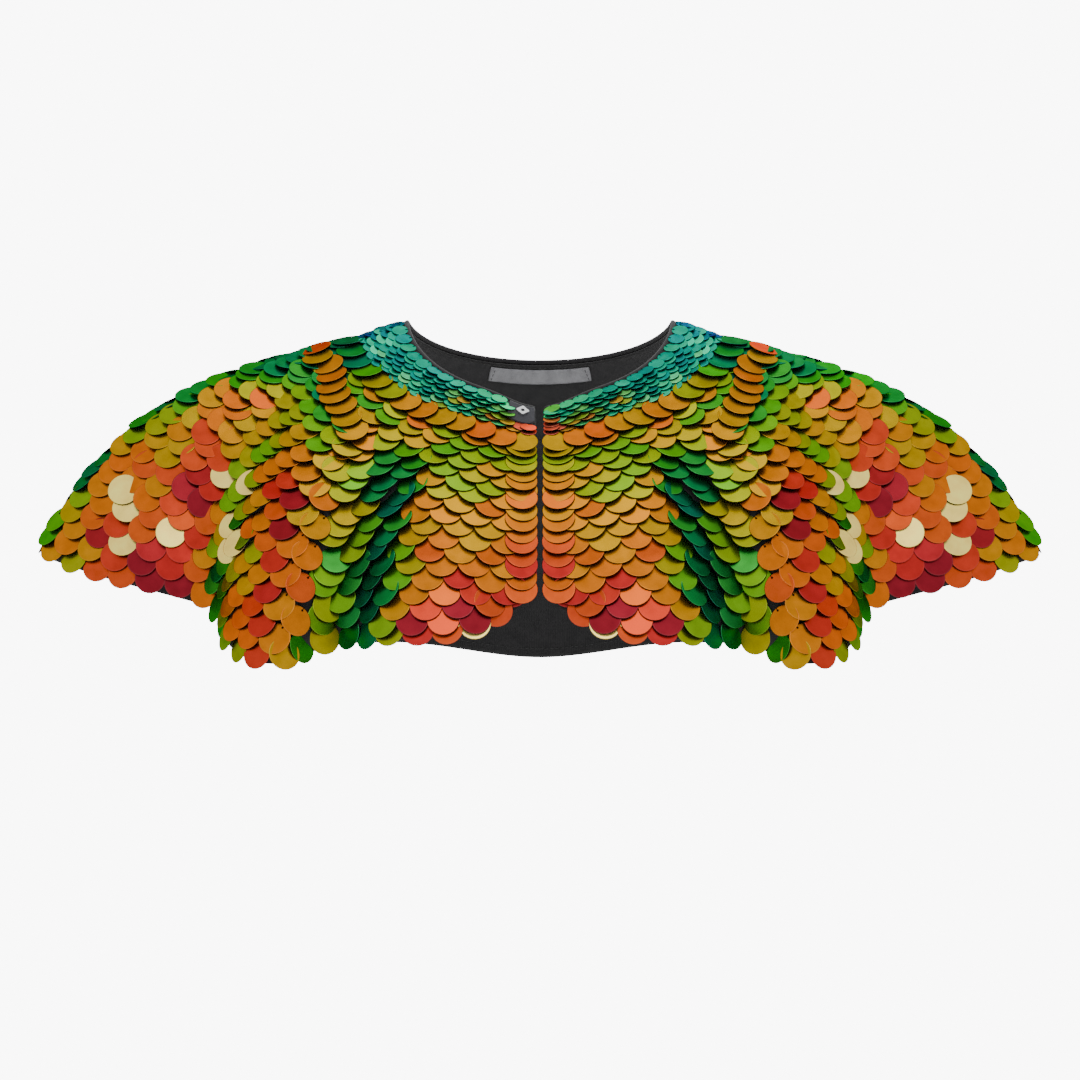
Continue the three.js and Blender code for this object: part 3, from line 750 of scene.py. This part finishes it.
def wing_rows(rng):
    """Rows of a wing, counted upward from its hem. The first disc of a row lies on the seam."""
    turns = np.linspace(FRONT_SEAM, BACK_SEAM, 700)
    rows = []
    for k in range(1, 28):
        distance = rib_length(turns) - LARGE_RADIUS + HEM_OVERHANG - WING_ROW_STEP * k
        front, back = edge_turn(front_armhole, distance), edge_turn(back_armhole, distance)
        inside = (turns >= front) & (turns <= back)
        if inside.sum() >= 20:
            across, down = turns[inside], distance[inside]
            rows.append(row_places(across, down, 0.001, LARGE_PITCH, k % 2 == 1, False))
    layout = finish_layout(rows, rng, WING_TILT, 2.0, 2.0, WING_LIFT)
    turn, distance = layout["turn"], layout["distance"]
    low = distance / rib_length(turn)
    front, back = edge_turn(front_armhole, distance), edge_turn(back_armhole, distance)
    inward = np.minimum(turn - front, back - turn)
    near_seam = 1 - smooth_step(inward * metres_per_degree(turn, distance), 0.0, 0.03)
    layout["lift"] = layout["lift"] + WING_END_LIFT * near_seam * smooth_step(low, 0.5, 0.62)
    layout["tilt"] = layout["tilt"] - 4 * smooth_step(low, 0.5, 0.75)
    return layout


def chain_along(armhole, rng):
    """A chain of discs along an armhole, each over the top of the next."""
    turn, distance = armhole(np.linspace(CHAIN_START, CHAIN_END, 300))
    line = cloth(turn, distance)
    gone = way_along(line)
    way = np.arange(0, gone[-1], CHAIN_STEP)
    row = np.stack([np.interp(way, gone, turn), np.interp(way, gone, distance), 0 * way])
    layout = finish_layout([row], rng, CHAIN_TILT, 1.0, 2.0, CHAIN_LIFT)
    slopes = [np.interp(way, gone, np.gradient(line[:, k])) for k in range(3)]
    layout["up"] = -unit(np.stack(slopes, -1))
    return layout


def large_colour(points, outward, layout):
    """The film's colour by how squarely a disc faces front or back, moved by its place."""
    square = np.abs(outward[:, 1])
    facing = 0.34 + 0.66 * square**1.6 - 0.08 * (1 - smooth_step(square, 0.5, 0.72))
    return film_colour(FILM, np.clip(facing * layout["range"] + layout["warm"], 0.33, 1))


def aim_off_seams(layout, before, after):
    """Discs beside a seam take the slope of their own panel a little way in from the seam. Before
    and after are the armholes at the panel's two sides, or None."""
    turn, distance = layout["turn"], layout["distance"]
    per_degree = metres_per_degree(turn, distance)
    for armhole, way, bridge in ((before, 1, 0.006), (after, -1, -math.inf)):
        if armhole:
            inside = way * (turn - edge_turn(armhole, distance)) * per_degree
            aside = np.clip(0.015 - inside, 0, 0.024) / per_degree * (inside > bridge)
            low = smooth_step(distance / rib_length(turn), 0.4, 0.55)
            layout["aim"] = layout["aim"] + way * aside * low


def turn_and_paint_glints(glints, points, outward, tint):
    """Turns the disc nearest to each glint toward the key light, so that it shines, and paints it cream as
    a painted highlight.
    """
    for x, z, stand in glints:
        away = np.hypot(np.abs(points[:, 0]) - x, points[:, 2] - z)
        nearest = int(np.argmin(away + 10 * (outward[:, 1] > -0.3)))
        if away[nearest] < GLINT_REACH:
            # Painted highlight: the glint disc's tint is set to cream.
            tint[nearest] = PAINTED_GLINT_CREAM
            halfway = np.array([-0.3 * points[nearest, 0], -0.94, 0.32])
            outward[nearest] = unit(2.4 * outward[nearest] + halfway)
            points[nearest] += stand * outward[nearest]


def stack_layouts(layouts):
    """Several layouts as one. Rows that say nothing of their own way up point along their rib."""
    for layout in layouts:
        if "up" not in layout:
            around, outward = cloth_frame(layout["turn"], layout["distance"])
            layout["up"] = np.cross(outward, around)
        layout.setdefault("shift", 0 * layout["up"])
        layout["aim"] = layout["turn"]
    return {name: np.concatenate([each[name] for each in layouts]) for name in layouts[0]}


large_foil = foil("large_foil", 0.32)
large_disc = disc_mesh("large_disc", LARGE_RADIUS, 26, 0.0004, large_foil)

rng = np.random.default_rng(11)
front_rows = body_rows(0, 90, front_armhole, rng, 18)
front_chain = chain_along(front_armhole, rng)
corner_overhang = lambda turn: 0.0003 + (HEM_OVERHANG - 0.0003) * np.clip((turn - 2) / 12, 0, 1)
back_overhang = lambda turn: -0.001 - 0.0005 * np.clip((left_turn(turn) - 134) / 10, 0, 1)


def wing_overhang(turn):
    """The discs of the wing's front hang past its hem, most where it is shortest."""
    behind = np.clip((turn - 87) / 4, 0, 1)
    return HEM_OVERHANG - (HEM_OVERHANG + 0.001) * behind + 0.0035 * np.exp(-(((turn - 70) / 5) ** 2))


# The front's hem row ends a little before the seam, where the wing's begins
front_hem_row = hem_row(0, FRONT_SEAM - 1.2, rng, corner_overhang, FRONT_HEM_LIFT)
front_layout = stack_layouts([front_rows, front_hem_row, front_chain])
wing_places = wing_rows(rng)
wing_hem_row = hem_row(FRONT_SEAM, BACK_SEAM, rng, wing_overhang, WING_HEM_LIFT)
wing_layout = stack_layouts([wing_places, wing_hem_row])


def streaks(turn, distance):
    """Slow changes of the film over the cloth, as the discs lie a little differently."""
    return 0.04 * np.sin(turn * 0.31 + 60 * distance) + 0.03 * np.sin(turn * 0.13 - 95 * distance + 2)


def front_film(layout):
    """Warmer or greener films than the slope gives: warm by the opening, on the top row and at the
    hem, green down the flank that folds away and on the shoulder, and warm on the chain."""
    turn, distance = layout["turn"], layout["distance"]
    low = (distance - YOKE_WIDTH) / (rib_length(turn) - YOKE_WIDTH)
    flank = smooth_step(turn, 24, 34) * (1 - smooth_step(turn, 46, 52)) * smooth_step(low, 0.1, 0.4)
    warm = 0.155 + streaks(turn, distance) + rng.normal(0, 0.045, len(turn))
    warm += 0.06 * np.exp(-((turn / 11) ** 2)) * (1 - smooth_step(low, 0.3, 0.9))
    warm += 0.12 * (distance < 0.045) * (turn < 72)
    warm += 0.04 * smooth_step(low, 0.75, 0.95) * (1 - flank)
    warm -= (0.18 + 0.1 * smooth_step(low, 0.5, 0.9)) * flank
    warm -= 0.18 * smooth_step(turn, 60, 68) * (1 - smooth_step(distance, 0.062, 0.075))
    layout["yaw"] = layout["yaw"] + 14 * flank * (1 - smooth_step(low, 0.8, 0.95))
    chain = np.abs(layout["lift"] - CHAIN_LIFT) < 1e-6
    layout["warm"] = np.where(chain, 0.78 + rng.normal(0, 0.02, len(turn)), warm)
    layout["range"] = np.where(chain, 0, 0.83)


def wing_film(layout):
    """Warm down the fold beside the front armhole, and greener toward the shoulder."""
    turn, distance = layout["turn"], layout["distance"]
    low = distance / rib_length(turn)
    warm = 0.045 + streaks(turn, distance) + rng.normal(0, 0.04, len(turn))
    fold = smooth_step(turn, 53, 57) * (1 - smooth_step(turn, 64, 69))
    warm += 0.22 * fold * smooth_step(low, 0.35, 0.55)
    warm += 0.10 * smooth_step(low, 0.3, 0.36) * (1 - smooth_step(low, 0.45, 0.6)) * (turn < 80)
    warm -= 0.07 * (1 - smooth_step(low, 0.35, 0.6))
    layout["warm"] = warm
    layout["range"] = np.where(turn < 68, 0.88, 0.955)


def back_film(layout):
    """The back is guessed: the front's film without its shading, and warm on the chains."""
    turn, distance = layout["turn"], layout["distance"]
    warm = 0.09 + streaks(left_turn(turn) + 5, distance) + rng.normal(0, 0.06, len(turn))
    chain = np.abs(layout["lift"] - CHAIN_LIFT) < 1e-6
    layout["warm"] = np.where(chain, 0.76, warm)
    layout["range"] = np.where(chain, 0, 0.85)


front_film(front_layout)
wing_film(wing_layout)
aim_off_seams(front_layout, None, front_armhole)
aim_off_seams(wing_layout, front_armhole, back_armhole)
back_chain = chain_along(back_armhole, rng)
other_chain = {**back_chain, "turn": 360 - back_chain["turn"], "up": back_chain["up"] * (-1, 1, 1)}
back_layout = stack_layouts([
    body_rows(90, 270, back_armhole, rng, 19),
    hem_row(BACK_SEAM, 360 - BACK_SEAM, rng, back_overhang, BACK_HEM_LIFT),
    back_chain,
    other_chain,
])
back_film(back_layout)
for node, layout, side, glints in (
    ("front_left", front_layout, 1, GLINTS),
    ("front_right", front_layout, -1, GLINTS),
    ("wing_left", wing_layout, 1, GLINTS),
    ("wing_right", wing_layout, -1, GLINTS),
    ("back", back_layout, 1, ()),
):
    name = node + "_sequins"
    sewn = sew_discs(name, layout, side, large_disc, LARGE_RADIUS, large_foil, large_colour, glints)


# Small sequins: round paillettes of the same film, half as wide, sewn in seven close rows on the
# yoke. Those that the closure tab would cover are left out.
SMALL_RADIUS = 0.0054
SMALL_PITCH = 0.0098
SMALL_ROWS = 7
SMALL_FIRST, SMALL_LAST = 0.0046, 0.0268
SMALL_TILT, SMALL_LIFT = 17, 0.0024
UNDER_TAB = (0.0212, 0.0205)
NECK_FILM = [
    (0.0, (8, 96, 134)), (0.22, (6, 134, 146)), (0.42, (0, 164, 142)), (0.6, (0, 186, 140)),
    (0.74, (84, 216, 150)), (0.84, (130, 192, 74)), (0.92, (204, 172, 66)), (1.0, (232, 112, 88)),
]


def small_colour(points, outward, layout):
    return film_colour(NECK_FILM, np.clip(np.abs(outward[:, 1]) + layout["warm"], 0, 1))


def yoke_rows(first, last, rng):
    """Close rows round the yoke, whose film is warmer toward the opening."""
    turns = np.linspace(first, last, 400)
    rows = []
    for k in range(SMALL_ROWS):
        distance = np.full(400, SMALL_FIRST + (SMALL_LAST - SMALL_FIRST) * k / (SMALL_ROWS - 1))
        rows.append(row_places(turns, distance, SMALL_RADIUS * 0.93, SMALL_PITCH, k % 2 == 1))
    layout = finish_layout(rows, rng, SMALL_TILT, 3.0, 3.5, SMALL_LIFT)
    near = np.exp(-((layout["turn"] / 44) ** 2))
    low = layout["distance"] / YOKE_WIDTH
    layout["warm"] = rng.normal(0, 0.085, len(layout["turn"])) - 0.12 + near * (0.22 + 0.48 * low)
    layout["warm"] += 0.16 * np.exp(-((layout["turn"] / 20) ** 2)) * (1 - low)
    return layout


small_foil = foil("small_foil", 0.30)
small_disc = disc_mesh("small_disc", SMALL_RADIUS, 18, 0.0003, small_foil)
for node, first, last, side in (
    ("yoke_front_left", 0, 90, 1), ("yoke_front_right", 0, 90, -1), ("yoke_back", 90, 270, 1)
):
    layout = yoke_rows(first, last, np.random.default_rng(5))
    if node == "yoke_front_right":
        across, down = cloth(layout["turn"], layout["distance"])[:, 0], layout["distance"]
        bare = (across <= UNDER_TAB[0]) & (down <= UNDER_TAB[1])
        layout = {name: values[~bare] for name, values in layout.items()}
    name = node + "_sequins"
    sewn = sew_discs(name, layout, side, small_disc, SMALL_RADIUS, small_foil, small_colour)


# Neck binding: a bias strip of the black cloth, rolled over the raw neck edge and sewn down
# inside. It is one tube from end to end of the neck, thinner where it ends at the opening.
BINDING_SIDES = 12
BINDING_MIDDLE = -0.0012
BINDING_HALF_WIDTH = 0.0016
BINDING_HALF_THICKNESS = 0.0013


def rolled_binding():
    angles = np.linspace(0, 2 * np.pi, BINDING_SIDES, endpoint=False)
    points = []
    for i, turn in enumerate(np.linspace(0, 360, 361)):
        thin = {0: 0.35, 1: 0.8}.get(min(i, 360 - i), 1)
        for angle in angles:
            distance = BINDING_MIDDLE + BINDING_HALF_WIDTH * thin * math.cos(angle)
            _, outward = cloth_frame(np.array(turn), np.array(max(distance, 0.0)))
            height = BINDING_HALF_THICKNESS * thin * math.sin(angle)
            points.append(cloth(turn, distance) + outward * height)
    first, last = range(BINDING_SIDES), range(len(points) - 1, len(points) - BINDING_SIDES - 1, -1)
    faces = [tuple(first), tuple(last)]
    for a in range(0, len(points) - BINDING_SIDES, BINDING_SIDES):
        for k in first:
            j = (k + 1) % BINDING_SIDES
            faces.append((a + k, a + BINDING_SIDES + k, a + BINDING_SIDES + j, a + j))
    obj = mesh_object("neck_binding_cloth", points, faces, binding_black)
    lay_flat(obj, [(i * 0.0015, k * 0.0006) for i in range(361) for k in first])
    return obj


binding_black = woven("binding_black", (0.006, 0.006, 0.007), (0.024, 0.023, 0.025), 450, 0.75, 0.4)
binding = rolled_binding()
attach(binding, "root")
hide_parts("neck_binding")


# Back lining: plain black cloth over the inside of the yoke and the back, sewn in at the neck and
# the hem. It has soft creases where it hangs free.
LINING_OUTER, LINING_INNER = -0.0018, -0.0028
LINING_ON_YOKE = 0.18


def lining_place(across, down):
    """The first share of the rows lies under the yoke, and the rest under the back."""
    turn, distance = back_place(across, np.clip((down - LINING_ON_YOKE) / (1 - LINING_ON_YOKE), 0, 1))
    on_yoke = down < LINING_ON_YOKE
    turn = np.where(on_yoke, back_place(across, 0 * down)[0], turn)
    return turn, np.where(on_yoke, YOKE_WIDTH * down / LINING_ON_YOKE, distance)


def lining_creases(turn, distance):
    low = np.clip((distance - 0.03) / 0.12, 0, 1)
    folds = np.sin(np.radians(turn * 5.0) + 9 * distance) + 0.6 * np.sin(np.radians(turn * 11.0 + 40))
    return 0.0005 * low * folds


lining_black = woven("lining_black", (0.007, 0.007, 0.008), (0.027, 0.026, 0.027), 380, 0.7, 0.45)
lining = shell(
    "back_lining_cloth", lining_place, 140, 80, LINING_INNER, LINING_OUTER, lining_black, lining_creases
)
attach(lining, "root")
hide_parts("back_lining")


# Label: a blank strip of grey satin at the middle of the back neck. Its ends are folded under and
# sewn to the lining.
LABEL_HALF_WIDTH = 0.032
LABEL_TOP, LABEL_LOW, LABEL_TAPER = 0.003, 0.0145, 0.06
LABEL_OUTER, LABEL_INNER = -0.0031, -0.0038
label_turn = math.degrees(math.asin(LABEL_HALF_WIDTH / NECK_HALF_WIDTH))
grey_satin = woven("grey_satin", (0.17, 0.17, 0.18), (0.38, 0.38, 0.4), 700, 0.4, 0.2)


def label_place(across, down):
    half = label_turn * (1 - LABEL_TAPER * down)
    return 180 + half * (2 * across - 1), LABEL_TOP + (LABEL_LOW - LABEL_TOP) * down


label = shell(
    "blank_label_satin",
    label_place, 48, 10, LABEL_INNER, LABEL_OUTER, grey_satin,
    lambda turn, distance: 0.00008 * np.sin(turn * 1.1),
)
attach(label, "root")
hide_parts("blank_label")


# Closure tab: a bare flap of black cloth on the neck corner of the wearer's right front. It is
# sewn on over the yoke and carries the socket of the press stud.
TAB_ACROSS = (0.0006, 0.0165)
TAB_DOWN, TAB_ROUNDING = (0.0015, 0.019), 0.0032
TAB_INNER, TAB_OUTER = 0.0013, 0.0023


def tab_place(across, down):
    turns = [360 - math.degrees(math.asin(a / NECK_HALF_WIDTH)) for a in TAB_ACROSS[::-1]]
    turn = turns[0] + (turns[1] - turns[0]) * across
    rounding = TAB_ROUNDING * (2 * across - 1) ** 4
    return turn, TAB_DOWN[0] + (TAB_DOWN[1] - TAB_DOWN[0] - rounding) * down


tab_cloth = woven("tab_cloth", (0.008, 0.008, 0.012), (0.03, 0.03, 0.04), 450, 0.7, 0.4)
tab = shell("closure_tab_cloth", tab_place, 24, 24, TAB_INNER, TAB_OUTER, tab_cloth)
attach(tab, "root")
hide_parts("closure_tab")


# Press stud: a square socket plate stood on its corner, with a round bore, and a round stud half
# behind the left front. Both are nickel-plated brass, pressed to shape and sewn to the cloth.
def grained(name, scale, tones, roughness, metallic=0):
    """Grey with a fine grain in its tone, and in its roughness where that is given as a pair."""
    material, tree, shader = new_material(name)
    where = add_node(tree, "ShaderNodeTexCoord").outputs["Object"]
    noise = {"Vector": where, "Scale": scale, "Detail": 3}
    grain = add_node(tree, "ShaderNodeTexNoise", noise).outputs["Fac"]
    between = lambda low, high: ramp(tree, grain, (0.3, grey(low)), (0.7, grey(high)))
    feed(tree, shader, {
        "Base Color": between(*tones),
        "Metallic": metallic,
        "Roughness": between(*roughness) if isinstance(roughness, tuple) else roughness,
    })
    return material


nickel = grained("nickel_plate", 900, (0.8, 0.97), (0.16, 0.32), 1)
for node in ("snap_socket", "snap_stud"):
    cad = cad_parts[node]
    cad.data.materials.clear()
    cad.data.materials.append(nickel)


# Sewing: black thread that shows on the inside, along the lining's hem, the neck binding and
# the ends of the label.
STITCH_LENGTH, STITCH_STEP, THREAD_RADIUS = 0.0022, 0.0034, 0.00022
ON_LINING, ON_CLOTH, ON_LABEL = (inner - 0.0001 for inner in (LINING_INNER, CLOTH_INNER, LABEL_INNER))
BELOW_NECK, ABOVE_HEM = 0.0016, 0.006


def stitch_mesh(material):
    """One stitch: a six-sided thread whose ends dip into the cloth."""
    points, faces = [], []
    for x, z, r in ((-0.5, -1.2, 0.6), (-0.36, 0, 1), (0.36, 0, 1), (0.5, -1.2, 0.6)):
        for k in range(6):
            y, up = math.cos(k * math.pi / 3), math.sin(k * math.pi / 3)
            points.append((x * STITCH_LENGTH, y * r * THREAD_RADIUS, (z + up * r) * THREAD_RADIUS))
    for i in range(3):
        for k in range(6):
            j = (k + 1) % 6
            faces.append((6 * i + k, 6 * i + j, 6 * i + 6 + j, 6 * i + 6 + k))
    faces += [(5, 4, 3, 2, 1, 0), (18, 19, 20, 21, 22, 23)]
    stitch = mesh_object("stitch", [(x, -y, z) for x, y, z in points], faces, material)
    bpy.context.scene.collection.objects.unlink(stitch)
    return stitch


def stitch_rows(name, rows, shape, material):
    """Stitches at even steps along rows of turns, distances and heights, on the cloth's inside."""
    found = []
    for turns, distances, heights in (np.broadcast_arrays(*row) for row in rows):
        _, outward = cloth_frame(turns, distances)
        line = cloth(turns, distances) + outward * heights[..., None]
        gone = way_along(line)
        way = np.arange(STITCH_STEP / 2, gone[-1], STITCH_STEP)
        at = lambda values: np.stack([np.interp(way, gone, values[:, k]) for k in range(3)], -1)
        along = unit(at(np.gradient(line, axis=0)))
        inward = -unit(at(outward))
        across = unit(np.cross(inward, along))
        found.append((at(line), along, across, np.cross(along, across)))
    points, *axes = (np.concatenate([row[k] for row in found]) for k in range(4))
    sewn = scatter(name, points, axes, shape, material, 0.05)
    return sewn


thread = grained("black_thread", 2600, (0.02, 0.06), 0.55)
stitch = stitch_mesh(thread)
hem_turns = np.linspace(BACK_SEAM + 1, 359 - BACK_SEAM, 600)
hem_ways = hem_distance(hem_turns) - ABOVE_HEM
along_hem = (hem_turns, hem_ways, ON_LINING + lining_creases(hem_turns, hem_ways))
hem_stitches = stitch_rows("lining_hem_stitches", [along_hem], stitch, thread)
ahead, behind, past = np.linspace(4, 88, 300), np.linspace(92, 268, 500), np.linspace(272, 356, 300)
binding_stitches = stitch_rows(
    "neck_binding_stitches",
    [(ahead, BELOW_NECK, ON_CLOTH), (behind, BELOW_NECK, ON_LINING), (past, BELOW_NECK, ON_CLOTH)],
    stitch, thread,
)
down_label = np.linspace(LABEL_TOP + 0.0012, LABEL_LOW - 0.0012, 40)
label_end = label_turn * (1 - LABEL_TAPER) - 0.9
label_stitches = stitch_rows(
    "label_stitches",
    [(180 + side * label_end, down_label, ON_LABEL) for side in (-1, 1)],
    stitch, thread,
)


# Stage: soft daylight from a pale surround, a large key light above the camera and a pale
# floor well below the hem.
def surround(seen, light):
    """A pale surround: one strength for what the camera sees past the cape, one for its light."""
    world = bpy.data.worlds.new("surround")
    world.use_nodes = True
    tree = world.node_tree
    path = add_node(tree, "ShaderNodeLightPath").outputs["Is Camera Ray"]
    strength = add_node(tree, "ShaderNodeMapRange", {"Value": path, "To Min": light, "To Max": seen})
    feed(tree, tree.nodes["Background"], {"Color": grey(1), "Strength": strength.outputs["Result"]})
    return world


bpy.context.scene.world = surround(9.0, 1.0)
for name, where, size, power in (
    ("key", (0, -2.6, 1.9), 1.2, 20),
    ("top", (0, -0.2, 2.2), 1.2, 7),
    ("rear", (0.4, 2.6, 1.9), 1.5, 14),
):
    light = bpy.data.objects.new(name, bpy.data.lights.new(name, "AREA"))
    light.data.shape = "DISK"
    light.data.size = size
    light.data.energy = power
    light.location = where
    aim = np.array([0, 0, -0.12]) - np.array(where)
    light.rotation_euler = (
        math.acos(-aim[2] / np.linalg.norm(aim)), 0, math.atan2(aim[1], aim[0]) - math.pi / 2
    )
    bpy.context.scene.collection.objects.link(light)

floor_paint = grained("floor_paint", 3, (0.84, 0.88), 0.9)
floor = mesh_object(
    "floor", [(x, y, -1.25) for x, y in ((-3, -3), (3, -3), (3, 3), (-3, 3))], [(0, 1, 2, 3)], floor_paint
)

bpy.context.view_layer.update()
